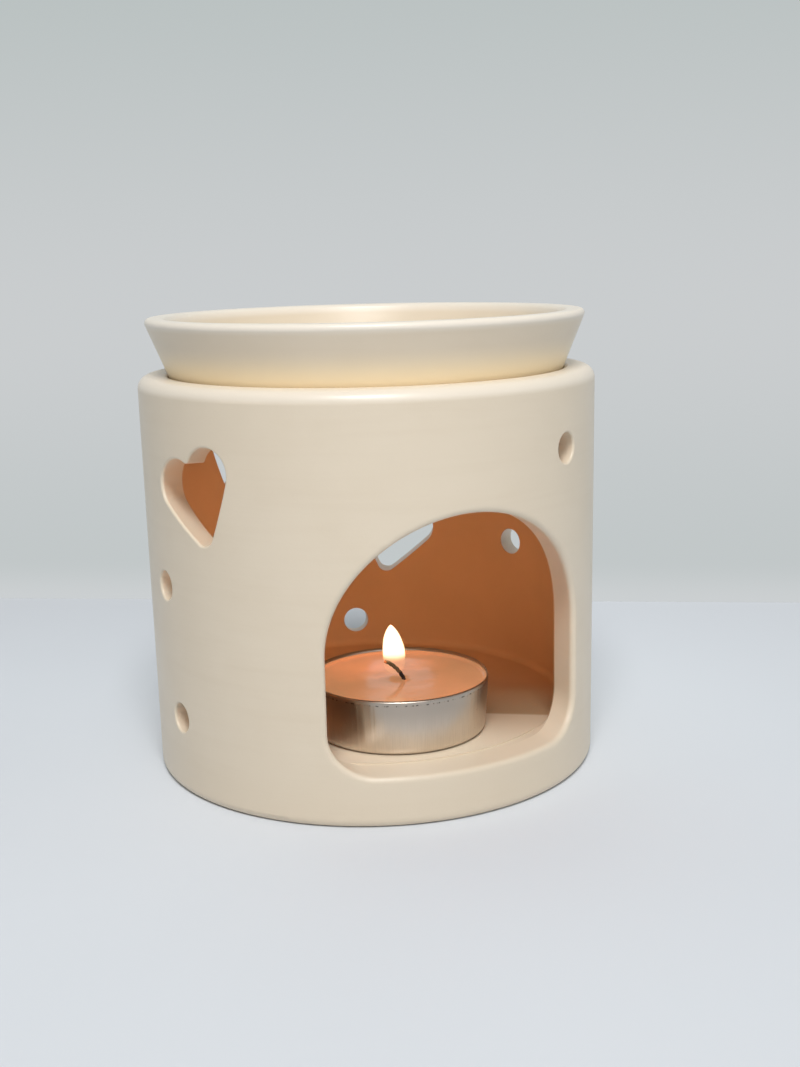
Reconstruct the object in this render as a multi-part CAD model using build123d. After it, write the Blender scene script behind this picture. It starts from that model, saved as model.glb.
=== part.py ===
from build123d import *
import math
import os

# A ceramic burner for scented oil or wax: a pot with an arched door, hearts and round
# air holes cut through its wall, a loose dish seated in its mouth, and a tea light inside.
# Lengths are in millimetres and angles in degrees. The pot stands on z = 0 round the z axis.
# The door faces -y. A bearing is an angle round the axis, from the door towards +x.

# Pot, turned in one piece
pot_radius = 50.0
pot_draw_in = 0.5
pot_height = 87.1
pot_wall = 6.7
pot_floor_height = 10.8
pot_rim_outer_round = 2.6
pot_rim_inner_round = 1.0
pot_foot_round = 1.6
pot_floor_round = 1.5
foot_ring_width = 7.0
foot_ring_depth = 1.2

# Door, an arch cut straight through the wall, with room each side of the tea light
door_side_room = 8.8
door_crown_height = 62.5
door_corner_round = 8.5
door_sill_drop = 0.3
door_edge_round = 0.8

# Hearts, each pushed through the wall by one cutter
heart_width = 19.6
heart_height = 18.6
heart_lobe_radius = 5.3
heart_lobe_wrap = 33.0
heart_tip_round = 2.4
heart_notch_round = 0.9
heart_edge_round = 0.45
# Where each heart's tip is, how far it leans left from outside, and how the cutter was held.
# The two rear hearts are pushed in square to the wall, the side one askew.
hearts = {
    "side": {"bearing": -64.7, "tip_share": 0.643, "lean": 16.0, "askew": 19.5, "dip": 7.0},
    "rear_right": {"bearing": 152.1, "tip_share": 0.353, "lean": 14.0, "askew": 0.0, "dip": 0.0},
    "rear_left": {"bearing": -152.3, "tip_share": 0.63, "lean": 12.0, "askew": 0.0, "dip": 0.0},
}

# Round air holes: where each is, and how far askew and how far up its drill was held
air_hole_radius = 3.15
air_hole_edge_round = 0.4
air_holes = [
    {"bearing": -84.2, "height_share": 0.515, "askew": 0.0, "dip": 0.0},
    {"bearing": -79.9, "height_share": 0.192, "askew": 0.0, "dip": 0.0},
    {"bearing": 29.9, "height_share": 0.831, "askew": 0.0, "dip": 0.0},
    {"bearing": 162.5, "height_share": 0.195, "askew": 0.0, "dip": -8.0},
    {"bearing": 105.6, "height_share": 0.469, "askew": 22.0, "dip": -3.0},
]

# Dish, a shallow cone that wedges in the pot's mouth
dish_flare = 21.8
dish_rise = 12.2
dish_drop = 11.6
dish_wall = 4.3
dish_floor_thickness = 4.6
dish_lip_outer_round = 1.0
dish_lip_inner_round = 1.4
dish_under_round = 3.0
dish_inside_round = 5.0
dish_seat_clearance = 0.25

# Tea light, standing on the pot's floor behind the door
tealight_front_gap = 3.5
tealight_bearing = -9.3
cup_radius = 19.2
cup_base_radius = 18.4
cup_height = 12.0
cup_wall = 0.35
cup_base_round = 1.3
cup_bead_radius = 0.45
wax_clearance = 0.06
wax_below_bead = 0.35
wax_edge_climb = 0.5
wick_radius = 0.45
wick_bare_length = 5.2
wick_bend_radius = 4.2
wick_bend_bearing = -113.0
wick_foot_clearance = 0.05
sustainer_radius = 6.2
sustainer_thickness = 0.3
sustainer_collar_height = 3.2
sustainer_collar_wall = 0.4
sustainer_clearance = 0.05

# How far a cutting tool runs past what it cuts, and how near a surface counts as on it
overrun = 4.0
on_surface = 0.06

pot_foot_radius = pot_radius - pot_draw_in
pot_mouth_radius = pot_radius - pot_wall
door_half_width = cup_radius + door_side_room
door_sill_height = pot_floor_height - door_sill_drop
tealight_offset = pot_mouth_radius - cup_radius - tealight_front_gap


def section(points, rounds):
    """A half section in the x-z plane, with some of its corners rounded."""
    face = Plane.XZ * make_face(Polyline(*points, close=True))
    for (radius, height), rounding in rounds.items():
        corner = face.vertices().sort_by_distance((radius, 0, height))[0]
        face = fillet(corner, rounding)
    return face


def turned(face):
    """A half section turned once round the z axis."""
    return revolve(face, Axis.Z)


def outward(bearing):
    """The horizontal direction out of the pot at a bearing."""
    angle = math.radians(bearing)
    return Vector(math.sin(angle), -math.cos(angle), 0)


def pot_outer_radius(height):
    """The pot's outside radius at a height: it draws in slightly towards its foot."""
    return pot_foot_radius + (pot_radius - pot_foot_radius) * height / pot_height


def pot_blank():
    """The pot before anything is cut through its wall."""
    ring_inside = pot_foot_radius - foot_ring_width
    foot_edge = (pot_foot_radius, 0)
    rim_outside = (pot_radius, pot_height)
    rim_inside = (pot_mouth_radius, pot_height)
    floor_edge = (pot_mouth_radius, pot_floor_height)
    points = [
        (0, foot_ring_depth),
        (ring_inside, foot_ring_depth),
        (ring_inside, 0),
        foot_edge,
        rim_outside,
        rim_inside,
        floor_edge,
        (0, pot_floor_height),
    ]
    rounds = {
        (ring_inside, foot_ring_depth): foot_ring_depth / 2,
        (ring_inside, 0): foot_ring_depth / 3,
        foot_edge: pot_foot_round,
        rim_outside: pot_rim_outer_round,
        rim_inside: pot_rim_inner_round,
        floor_edge: pot_floor_round,
    }
    return turned(section(points, rounds))


def door_cutter():
    """An arch with rounded lower corners, run through the front wall only."""
    spring_height = door_crown_height - door_half_width
    outline = Polyline(
        (-door_half_width, spring_height),
        (-door_half_width, door_sill_height),
        (door_half_width, door_sill_height),
        (door_half_width, spring_height),
    )
    arch = ThreePointArc(
        (door_half_width, spring_height), (0, door_crown_height), (-door_half_width, spring_height)
    )
    face = make_face([outline, arch])
    for side in (-door_half_width, door_half_width):
        corner = face.vertices().sort_by_distance((side, door_sill_height, 0))[0]
        face = fillet(corner, door_corner_round)
    prism = extrude(Plane.XZ * face, pot_radius + overrun)
    inside_radius = pot_mouth_radius - pot_floor_round
    core = Cylinder(
        inside_radius, pot_height, align=(Align.CENTER, Align.CENTER, Align.MIN)
    )
    return prism - core


def heart_outline():
    """A heart with its tip near the origin and its notch above: two lobes and bowed flanks."""
    lobe_x = heart_width / 2 - heart_lobe_radius
    lobe_y = heart_height - heart_lobe_radius
    notch_angle = 180 - math.degrees(math.acos(lobe_x / heart_lobe_radius))
    half_tip_angle = math.atan2(heart_width / 2, lobe_y)
    tip_y = -heart_tip_round * (1 / math.sin(half_tip_angle) - 1)
    lobe = CenterArc(
        (lobe_x, lobe_y), heart_lobe_radius, notch_angle, -(notch_angle + heart_lobe_wrap)
    )
    flank = TangentArc(lobe @ 1, (0, tip_y), tangent=lobe % 1)
    half = [lobe, flank]
    other_half = [edge.mirror(Plane.YZ) for edge in half]
    face = make_face(half + other_half)
    by_height = face.vertices().filter_by(lambda v: abs(v.X) < heart_notch_round).sort_by(Axis.Y)
    face = fillet(by_height[-1], heart_notch_round)
    tip = face.vertices().sort_by(Axis.Y)[0]
    return fillet(tip, heart_tip_round)


def cutter_plane(origin, bearing, dip):
    """A plane whose normal points out of the pot at a bearing, tipped up by the dip."""
    dip_angle = math.radians(dip)
    normal = outward(bearing) * math.cos(dip_angle) + Vector(0, 0, math.sin(dip_angle))
    return Plane(origin=origin, x_dir=outward(bearing + 90), z_dir=normal)


def heart_cutter(bearing, tip_share, lean, askew, dip):
    """The heart run through the wall, leaning, and askew by an angle to the wall's normal."""
    tip_height = tip_share * pot_height
    start = outward(bearing) * pot_outer_radius(tip_height) + Vector(0, 0, tip_height)
    plane = cutter_plane(start, bearing + askew, dip)
    face = plane * (Rot(0, 0, lean) * heart_outline())
    depth = pot_wall + heart_width / 2
    return extrude(face, amount=depth, both=True)


def air_hole_cutter(bearing, height_share, askew, dip):
    """A round hole whose axis crosses the middle of the wall."""
    height = height_share * pot_height
    middle = outward(bearing) * (pot_radius - pot_wall / 2) + Vector(0, 0, height)
    plane = cutter_plane(middle, bearing + askew, dip)
    return plane * Cylinder(air_hole_radius, pot_wall + 2 * overrun)


def borders(pot, edge_test):
    """Edges of openings that lie on the pot's outside, without its seam and its own rings."""
    found = []
    for edge in pot.edges():
        places = [edge @ 0, edge @ 0.5, edge @ 1]
        heights = [place.Z for place in places]
        on_outside = all(
            abs(math.hypot(place.X, place.Y) - pot_outer_radius(place.Z)) < on_surface
            for place in places
        )
        is_seam = max(heights) - min(heights) > pot_height / 2
        is_ring = max(heights) - min(heights) < on_surface and edge.length > pot_radius
        if on_outside and not is_seam and not is_ring and edge_test(places[1]):
            found.append(edge)
    return found


def beside(bearing, height, reach):
    """A test for places within a reach of a point on the pot's outside."""
    centre = outward(bearing) * pot_radius + Vector(0, 0, height)
    return lambda place: (place - centre).length < reach


def make_burner_body():
    """The pot with its door, hearts and air holes, each with a softened outer edge."""
    pot = pot_blank() - door_cutter()
    door_middle = (door_sill_height + door_crown_height) / 2
    door_edges = borders(pot, beside(0, door_middle, 2 * door_half_width))
    pot = fillet(door_edges, door_edge_round)
    for heart in hearts.values():
        pot = pot - heart_cutter(**heart)
        tip_height = heart["tip_share"] * pot_height
        heart_edges = borders(
            pot, beside(heart["bearing"], tip_height + heart_height / 2, heart_height)
        )
        pot = fillet(heart_edges, heart_edge_round)
    for air_hole in air_holes:
        pot = pot - air_hole_cutter(**air_hole)
        hole_height = air_hole["height_share"] * pot_height
        hole_edges = borders(pot, beside(air_hole["bearing"], hole_height, 2 * air_hole_radius))
        pot = fillet(hole_edges, air_hole_edge_round)
    return pot


def dish_outer_radius(height):
    """The dish's outside radius: a cone that touches the pot's rounded inner rim."""
    flare = math.radians(dish_flare)
    reach = pot_rim_inner_round + dish_seat_clearance
    seat_radius = pot_mouth_radius + pot_rim_inner_round - reach * math.cos(flare)
    seat_height = pot_height - pot_rim_inner_round + reach * math.sin(flare)
    return seat_radius + (height - seat_height) * math.tan(flare)


def make_oil_dish():
    """The loose dish: cone side, flat underside, rounded lip and a smooth hollow."""
    top = pot_height + dish_rise
    bottom = pot_height - dish_drop
    inside_bottom = bottom + dish_floor_thickness
    level_wall = dish_wall / math.cos(math.radians(dish_flare))
    under_edge = (dish_outer_radius(bottom), bottom)
    lip_outside = (dish_outer_radius(top), top)
    lip_inside = (dish_outer_radius(top) - level_wall, top)
    inside_edge = (dish_outer_radius(inside_bottom) - level_wall, inside_bottom)
    points = [(0, bottom), under_edge, lip_outside, lip_inside, inside_edge, (0, inside_bottom)]
    rounds = {
        under_edge: dish_under_round,
        lip_outside: dish_lip_outer_round,
        lip_inside: dish_lip_inner_round,
        inside_edge: dish_inside_round,
    }
    return turned(section(points, rounds))


def tealight_place():
    """Where the tea light's own axis meets the pot's floor."""
    return Pos(outward(tealight_bearing) * tealight_offset + Vector(0, 0, pot_floor_height))


def cup_inside_radius(height):
    """The cup's inside radius at a height above its base."""
    slope = (cup_radius - cup_base_radius) / cup_height
    return cup_base_radius + slope * height - cup_wall


def make_tealight_cup():
    """A thin drawn cup with a rolled edge."""
    base_edge = (cup_base_radius, 0)
    inside_edge = (cup_inside_radius(cup_wall), cup_wall)
    points = [
        (0, 0),
        base_edge,
        (cup_radius, cup_height - cup_bead_radius),
        (cup_radius - cup_wall, cup_height - cup_bead_radius),
        inside_edge,
        (0, cup_wall),
    ]
    rounds = {base_edge: cup_base_round, inside_edge: cup_base_round - cup_wall}
    bead_place = Pos(cup_radius - cup_wall / 2, 0, cup_height - cup_bead_radius)
    bead = bead_place * (Plane.XZ * Circle(cup_bead_radius))
    return turned(section(points, rounds) + bead)


def wax_top():
    """The wax's level above the cup's base."""
    return cup_height - 2 * cup_bead_radius - wax_below_bead


def make_tealight_wax():
    """The wax, cast round the sustainer and the wick, and drawn up a little at the cup."""
    bottom = cup_wall
    top = wax_top()
    low_edge = (cup_inside_radius(bottom) - wax_clearance, bottom)
    high_edge = (cup_inside_radius(top) - wax_clearance, top)
    climb_start = (high_edge[0] - 2 * wax_edge_climb, top - wax_edge_climb)
    points = [(0, bottom), low_edge, high_edge, climb_start, (0, top - wax_edge_climb)]
    rounds = {low_edge: cup_base_round, climb_start: wax_edge_climb}
    wax = turned(section(points, rounds))
    upright = (Align.CENTER, Align.CENTER, Align.MIN)
    disc_room = Cylinder(
        sustainer_radius + sustainer_clearance,
        bottom + sustainer_thickness + sustainer_clearance,
        align=upright,
    )
    collar_room = Cylinder(
        sustainer_outer_collar() + sustainer_clearance,
        bottom + sustainer_collar_height + sustainer_clearance,
        align=upright,
    )
    wick_room = Cylinder(wick_radius + sustainer_clearance, cup_height, align=upright)
    return wax - disc_room - collar_room - wick_room


def sustainer_outer_collar():
    """The outside radius of the collar that grips the wick."""
    return wick_radius + sustainer_clearance + sustainer_collar_wall


def make_wick_sustainer():
    """The tin disc that stands the wick up, with its crimped collar."""
    upright = (Align.CENTER, Align.CENTER, Align.MIN)
    disc = Cylinder(sustainer_radius, sustainer_thickness, align=upright)
    collar = Cylinder(sustainer_outer_collar(), sustainer_collar_height, align=upright)
    bore = Cylinder(wick_radius + sustainer_clearance, cup_height, align=upright)
    return Pos(0, 0, cup_wall) * (disc + collar - bore)


def make_wick():
    """The wick: straight through the wax, then curled over to one side."""
    foot = cup_wall + wick_foot_clearance
    bend_start = wax_top()
    turn = wick_bare_length / wick_bend_radius
    reach = wick_bend_radius * (1 - math.cos(turn))
    rise = wick_bend_radius * math.sin(turn)
    lean = outward(wick_bend_bearing)
    stem = Line((0, 0, foot), (0, 0, bend_start))
    tip = lean * reach + Vector(0, 0, bend_start + rise)
    curl = TangentArc(stem @ 1, tip, tangent=(0, 0, 1))
    start = Plane(origin=(0, 0, foot), z_dir=(0, 0, 1))
    return sweep(start * Circle(wick_radius), path=Wire([stem.edge(), curl.edge()]))


def main():
    os.makedirs("parts", exist_ok=True)
    place = tealight_place()
    parts = {
        "burner_body": make_burner_body(),
        "oil_dish": make_oil_dish(),
        "tealight_cup": place * make_tealight_cup(),
        "tealight_wax": place * make_tealight_wax(),
        "wick_sustainer": place * make_wick_sustainer(),
        "wick": place * make_wick(),
    }
    for node, solid in parts.items():
        export_step(solid, f"parts/{node}.step")


main()
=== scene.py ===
import math

import bpy
import bmesh
from mathutils import Matrix, Vector, noise


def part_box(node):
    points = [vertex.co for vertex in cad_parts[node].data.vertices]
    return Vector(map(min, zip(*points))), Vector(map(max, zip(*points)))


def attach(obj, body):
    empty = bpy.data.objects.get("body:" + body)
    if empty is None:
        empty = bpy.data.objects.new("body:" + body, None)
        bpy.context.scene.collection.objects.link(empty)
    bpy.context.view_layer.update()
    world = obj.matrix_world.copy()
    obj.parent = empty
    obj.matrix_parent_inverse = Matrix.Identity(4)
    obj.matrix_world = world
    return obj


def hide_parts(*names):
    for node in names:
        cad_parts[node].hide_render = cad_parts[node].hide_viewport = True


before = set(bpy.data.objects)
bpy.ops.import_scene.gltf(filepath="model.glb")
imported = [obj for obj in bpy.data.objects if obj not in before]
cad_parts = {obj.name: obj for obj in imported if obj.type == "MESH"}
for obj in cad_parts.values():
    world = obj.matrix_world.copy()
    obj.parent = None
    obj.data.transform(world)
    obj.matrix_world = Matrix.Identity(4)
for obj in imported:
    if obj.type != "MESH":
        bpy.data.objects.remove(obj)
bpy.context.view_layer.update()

# A cream ceramic burner with a lit tea light inside it. Lengths are in metres and angles
# in degrees. The door faces -y, and z is up from the table. A share is from 0 to 1.
# A noise is its scale, its detail and its roughness, and a range is its two ends.

# The camera, from the photograph: how far it stands from the pot's axis and how high,
# how far round to the left of the door it stands, and which way it points.
camera_distance = 0.2988
camera_height = 0.11233
camera_round = 23.6
camera_pan = 1.25
camera_dip = 11.9
camera_roll = -1.375
camera_lens = 45.36
camera_clip_start = 0.01
sensor_long_side = 36.0

# The room: the table, a paper backdrop behind the pot, a lamp high behind the camera,
# a wide soft lamp in front, the light of the room, and the walls that are seen in it
table_size = 4.0
table_color = (0.70, 0.735, 0.785)
table_far_shade_color = (0.63, 0.65, 0.68)
table_cloud_scale = 6.0
table_cloud_shade = 0.97
table_cloud_range = (0.3, 0.7)
table_shade_from = 0.06
table_shade_to = 0.30
table_roughness = 0.7
backdrop_distance = 0.1278
backdrop_turn = -31.4
backdrop_height = 1.2
backdrop_foot_color = (0.60, 0.625, 0.635)
backdrop_low_color = (0.54, 0.575, 0.58)
backdrop_mid_color = (0.59, 0.61, 0.62)
backdrop_high_color = (0.47, 0.52, 0.515)
backdrop_foot_height = 0.014
backdrop_mid_height = 0.09
backdrop_high_height = 0.234
room_color = (1.0, 0.99, 0.98)
room_strength = 0.16
room_seen_color = (0.50, 0.515, 0.52)
lamp_color = (1.0, 0.995, 0.99)
softbox_size = 0.7
softbox_distance = 0.9
softbox_height = 0.60
softbox_round = 14.0
softbox_power = 1.9
lamp_size = 0.40
lamp_distance = 1.2
lamp_rise = 58.0
lamp_round = -23.6
lamp_power = 9.8

# The satin glaze: its clouds, its turning marks, its grain and its pinholes
glaze_color = (0.775, 0.672, 0.530)
glaze_shade_color = (0.700, 0.590, 0.445)
# A pale colour painted on the pot's rim and the dish's lip as a painted highlight.
glaze_highlight_color = (0.860, 0.790, 0.690)
glaze_roughness = 0.34
glaze_rough_change = 0.22
glaze_relief = 0.0001
glaze_mark_scale = (30.0, 30.0, 420.0)
glaze_grain_scale = 1500.0
glaze_cloud_share = 0.32
glaze_cloud_range = (0.36, 0.72)
glaze_cloud_detail = (4.0, 0.55)
glaze_cloud_relief = 0.4
glaze_mark_share = 0.16
glaze_mark_range = (0.45, 0.75)
glaze_mark_noise = (1.0, 3.0, 0.6)
glaze_mark_relief = 0.45
glaze_grain_relief = 0.14
pinhole_scale = 105.0
pinhole_radius = 0.020
pinhole_edge = 0.034
pinhole_share = 0.6
pinhole_relief = 0.6
pinhole_color = (0.16, 0.10, 0.06)

# The pot's outside: painted shade at its foot, a painted highlight on its rim, and softened round its
# door
pot_cloud_size = 0.028
pot_pinholes = 0.035
foot_painted_shade = 0.5
foot_painted_shade_height = 0.022
# A painted highlight: the top of the rim is paled as if lit from above.
rim_highlight_from = 0.0030
rim_highlight_to = 0.0014
rim_highlight_share = 0.6
door_soft_edge = 0.0016
door_soft_samples = 6
door_soft_from = 0.00352
door_soft_to = 0.00256
door_soft_front = -0.036
door_soft_top = 0.066

# The pot's inside: tan on its wall, and on its floor a painted shade that grows back from the door to a
# painted shadow edge beside the tea light, beyond which the floor has the wall's tan, darkened low down
# by a painted shadow
pot_wall = 0.0067
inside_color = (0.720, 0.460, 0.250)
inside_cloud_shade = 0.82
inside_cloud_scale = 60.0
inside_cloud_detail = 3.0
inside_extra_roughness = 0.3
inside_skin = 0.0003
inside_rim_from = 0.004
inside_rim_to = 0.001
wall_tan_from = 0.0004
wall_tan_to = 0.0022
floor_margin = 0.001
# Painted shade and shadow on the floor: a gradient back from the door, ending in a sharp painted shadow
# edge.
floor_shadow_bearing = -34.8
floor_shade_start = -0.028
floor_shadow_edge = -0.0085
floor_shadow_blur = 0.0014
floor_shade_share = 0.55
floor_shadow_wander = 0.002
# A darker painted shadow on the floor and the foot of the wall just beyond the shadow edge.
floor_dark_shadow_end = 0.016
floor_dark_shadow_from = 0.003
floor_dark_shadow_to = 0.014
floor_dark_shadow_share = 0.54
floor_dark_shadow_color = (0.030, 0.015, 0.008)

# The dish: a painted highlight on its lip, and a painted warm glow low on its cone, whose radius is at
# the pot's rim
dish_cloud_size = 0.024
dish_pinholes = 0.05
# A painted highlight: the dish's lip is paled as if lit from above.
lip_highlight_from = 0.0024
lip_highlight_to = 0.0009
lip_highlight_share = 0.9
# A painted warm glow low on the dish's cone, standing in for light thrown up by the pot's bright rim and
# the flame's light through the gap.
seat_glow_color = (0.990, 0.830, 0.560)
seat_glow_share = 0.95
seat_glow_from = 0.0005
seat_glow_to = 0.0075
dish_cone_slope = 0.414
dish_cone_radius = 0.0434
dish_cone_margin = 0.002

# The tea light's cup: its wall, its rolled edge, and the folds that drawing leaves in foil
cup_wall = 0.00035
cup_taper = 0.0008
cup_edge_radius = 0.00026
cup_base_round = 0.0013
cup_crease_drop = 0.00018
cup_crease_depth = 0.00007
cup_base_rings = (0.006, 0.012)
cup_base_steps = 10
cup_wall_rings = (0.25, 0.45, 0.65, 0.85, 0.97)
cup_edge_start = -62
cup_edge_end = 200
cup_edge_steps = 26
cup_inside_steps = 8
cup_fold_depth = 0.00005
cup_fold_count = 150.0
cup_dent_depth = 0.00010
cup_folds_from = 0.0012
cup_folds_fade_in = 0.002
cup_folds_fade_out = 0.0005
cup_seed = 4.0
cup_steps_round = 481
cup_steps_along = 90
fold_scale = 0.30
dent_round_scale = 2.6
dent_up_scale = 130.0
merge_distance = 0.000002

# Its foil: drawing lines, haze, a painted darker reflection on its upper part and a broken painted
# shadow in a crease
foil_light_color = (0.68, 0.60, 0.515)
foil_dark_color = (0.63, 0.555, 0.475)
# A painted darker reflection over the upper part of the cup's wall.
foil_upper_shade_color = (0.48, 0.42, 0.36)
foil_shade_from = 0.3
foil_shade_to = 0.85
foil_line_scale = (22.0, 60.0)
foil_line_noise = (3.2, 4.0, 0.6)
foil_line_range = (0.35, 0.7)
foil_haze_noise = (240.0, 3.0)
foil_haze_share = 0.3
foil_roughness = 0.20
foil_line_roughness = 0.07
foil_haze_roughness = 0.14
foil_relief = 0.000006
# A broken dark line painted under the rolled edge: painted shadow in the crease there.
crease_round_scale = 9.0
crease_drop = 0.00105
crease_drift = 0.0003
crease_drift_noise = (5.0, 1.0)
crease_gap_noise = (2.0, 3.0, 0.7)
crease_gap_range = (0.50, 0.56)
crease_core = 0.00009
crease_edge = 0.00017
crease_shadow_share = 0.85
crease_shadow_color = (0.10, 0.085, 0.075)

# The wax: molten, drawn up at the cup and round the wick
wax_gap = 0.00006
wax_lift = 0.0006
wax_base_round = 0.0013
wax_base_ring = 0.008
wax_base_steps = 6
wax_wall_rings = (0.35, 0.6, 0.8, 0.93, 1.0)
wax_top_rings = (0.014, 0.010, 0.007, 0.005)
wax_edge_climb = 0.0007
wax_edge_reach = 0.0016
wax_edge_steepness = 2600.0
wax_wick_climb = 0.00045
wax_wick_reach = 0.0016
wax_wick_span = 0.00352
wax_seed = 2.0
wax_steps_round = 193
wax_steps_along = 110
wax_color = (0.39, 0.138, 0.068)
wax_cloud_color = (0.35, 0.118, 0.058)
wax_pool_color = (0.25, 0.085, 0.045)
wax_disc_color = (0.20, 0.07, 0.04)
wax_pool_share = 0.2
wax_pool_radius = 0.0150
wax_pool_edge = 0.0165
wax_pool_wander = 0.020
wax_disc_share = 0.12
wax_disc_radius = 0.0052
wax_disc_edge = 0.0068
# A painted glow: emission near the wax's top standing in for the flame's light scattered in the wax.
wax_painted_glow_color = (0.272, 0.154, 0.073)
wax_glow_shade = 0.96
wax_glow_depth = 0.003
wax_depth_seen = 0.002
wax_depth_share = 0.25
wax_depth_colors = (1.0, 0.6, 0.35)
wax_swirl_noise = (130.0, 3.0)
wax_swirl_range = (0.35, 0.7)
wax_streak_scale = (90.0, 260.0, 90.0)
wax_streak_range = (0.3, 0.8)
wax_roughness_range = (0.10, 0.24)
wax_pool_scale = 150.0
wax_relief = 0.00010

# The wick: strands laid up round its path, burnt black, ending in a small ember
wick_strands = 3
wick_strand_radius = 0.00026
wick_lay_radius = 0.00020
wick_turns = 5.0
wick_line_steps = 24
wick_path_points = 72
wick_strand_sides = 12
wick_taper_from = 0.90
wick_tip_share = 0.55
wick_bare_length = 0.0062
wick_bearing = -113.0
wick_first_lean = 22.0
wick_last_lean = 66.0
wick_foot_gap = 0.0003
wick_aside = 0.00115
wick_forward = 0.0011
wick_dark_color = (0.008, 0.006, 0.005)
wick_pale_color = (0.035, 0.024, 0.018)
wick_soaked_color = (0.10, 0.055, 0.035)
wick_soaked_height = 0.0011
wick_soaked_share = 0.7
wick_fuzz_noise = (2600.0, 2.0, 0.6)
wick_fuzz_range = (0.35, 0.7)
wick_matt_range = (0.3, 0.7)
wick_roughness_range = (0.75, 0.95)
wick_relief = 0.00015
ember_color = (1.0, 0.16, 0.02)
ember_strength = 1.2
ember_core = 0.0003
ember_edge = 0.0011
ember_wander = 0.0006

# The sustainer's tinned steel, with rolling lines
tin_dark_color = (0.62, 0.61, 0.60)
tin_pale_color = (0.78, 0.77, 0.75)
tin_line_scale = (3000.0, 200.0, 200.0)
tin_line_noise = (1.0, 3.0)
tin_line_range = (0.2, 0.8)
tin_roughness_range = (0.25, 0.42)
tin_relief = 0.00002

# The flame, and the two lights near its top
flame_height = 0.0108
flame_radius = 0.00245
flame_base_drop = 0.0028
flame_tip_lean = 0.0006
flame_widest_share = 0.42
flame_root_power = 4
flame_shoulder_power = 2
flame_tip_power = 0.75
flame_wobble = 0.05
flame_wobble_scale = 3
flame_rings = 36
flame_spokes = 32
flame_strength = 1.6
flame_root_color = (1.0, 0.52, 0.20)
flame_body_color = (1.0, 0.93, 0.66)
flame_edge_color = (1.0, 0.50, 0.14)
flame_base_color = (0.02, 0.015, 0.01)
flame_edge_from = 0.55
flame_edge_to = 0.95
flame_fade_from = 0.80
flame_flicker_scale = 300.0
flame_body_from = 0.30
flame_body_to = 0.52
flame_flicker = 0.06
flame_solid_from = 0.27
flame_solid_to = 0.44
flame_root_alpha = 0.05
flame_light_color = (1.0, 0.55, 0.28)
flame_light_size = 0.0060
flame_light_share = 0.9
flame_front_power = 0.0044
flame_back_power = 0.0160
flame_back_bearing = 178.0
flame_back_tilt = 12.0


def outward(bearing):
    """The level direction at a bearing, which is counted from the door towards +x."""
    angle = math.radians(bearing)
    return Vector((math.sin(angle), -math.cos(angle), 0))


def upward(height):
    """A step straight up."""
    return Vector((0, 0, height))


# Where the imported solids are. The wax's level is its height over the cup's foot.
pot_low, pot_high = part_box("burner_body")
dish_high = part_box("oil_dish")[1]
cup_low, cup_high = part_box("tealight_cup")
wax_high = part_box("tealight_wax")[1]
sustainer_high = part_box("wick_sustainer")[1]
pot_radius = (pot_high.x - pot_low.x) / 2
pot_floor = cup_low.z
cup_centre = (cup_low + cup_high) / 2
cup_foot = Vector((cup_centre.x, cup_centre.y, cup_low.z))
cup_edge_outside = (cup_high.x - cup_low.x) / 2
cup_height = cup_high.z - cup_low.z
cup_radius = cup_edge_outside - cup_edge_radius + cup_wall / 2
cup_base_radius = cup_radius - cup_taper
wax_level = wax_high.z - cup_low.z - wax_edge_climb + wax_lift


# Nodes

def wire(tree, sockets, values):
    """Sets or links each named input."""
    for name, value in values.items():
        if isinstance(value, bpy.types.NodeSocket):
            tree.links.new(value, sockets[name])
        else:
            sockets[name].default_value = value


def put(tree, kind, inputs=None, **settings):
    """Adds a node, with its settings and its inputs."""
    made = tree.nodes.new(kind)
    for name, value in settings.items():
        setattr(made, name, value)
    wire(tree, made.inputs, inputs or {})
    return made


def calc(tree, operation, *values):
    """A Math node's result."""
    return put(tree, "ShaderNodeMath", dict(enumerate(values)), operation=operation).outputs[0]


def plus(tree, total, *others):
    """A sum."""
    for other in others:
        total = calc(tree, "ADD", total, other)
    return total


def times(tree, product, *others):
    """A product."""
    for other in others:
        product = calc(tree, "MULTIPLY", product, other)
    return product


def centred(tree, value):
    """A value from 0 to 1, moved to -0.5 to 0.5."""
    return calc(tree, "SUBTRACT", value, 0.5)


def vector_calc(tree, operation, *values):
    """A Vector Math node's vector."""
    made = put(tree, "ShaderNodeVectorMath", dict(enumerate(values)), operation=operation)
    return made.outputs["Vector"]


def vector_measure(tree, operation, first, second):
    """A Vector Math node's number."""
    made = put(tree, "ShaderNodeVectorMath", {0: first, 1: second}, operation=operation)
    return made.outputs["Value"]


def scaled(tree, vector, factor):
    """A vector times a number."""
    made = put(tree, "ShaderNodeVectorMath", {0: vector, "Scale": factor}, operation="SCALE")
    return made.outputs["Vector"]


def combined(tree, x, y, z):
    """A vector from its parts."""
    return put(tree, "ShaderNodeCombineXYZ", {"X": x, "Y": y, "Z": z}).outputs[0]


def split(tree, vector):
    """A vector's x, y and z."""
    made = put(tree, "ShaderNodeSeparateXYZ", {"Vector": vector})
    return made.outputs["X"], made.outputs["Y"], made.outputs["Z"]


def from_axis(tree, x, y):
    """How far a place is from the z axis."""
    return calc(tree, "SQRT", plus(tree, times(tree, x, x), times(tree, y, y)))


def ramp_between(tree, value, low, high, to_low=0.0, to_high=1.0):
    """A smooth step from one value to another as the input goes from low to high."""
    ends = {"From Min": low, "From Max": high, "To Min": to_low, "To Max": to_high}
    made = put(tree, "ShaderNodeMapRange", {"Value": value, **ends}, interpolation_type="SMOOTHSTEP")
    return made.outputs["Result"]


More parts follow.
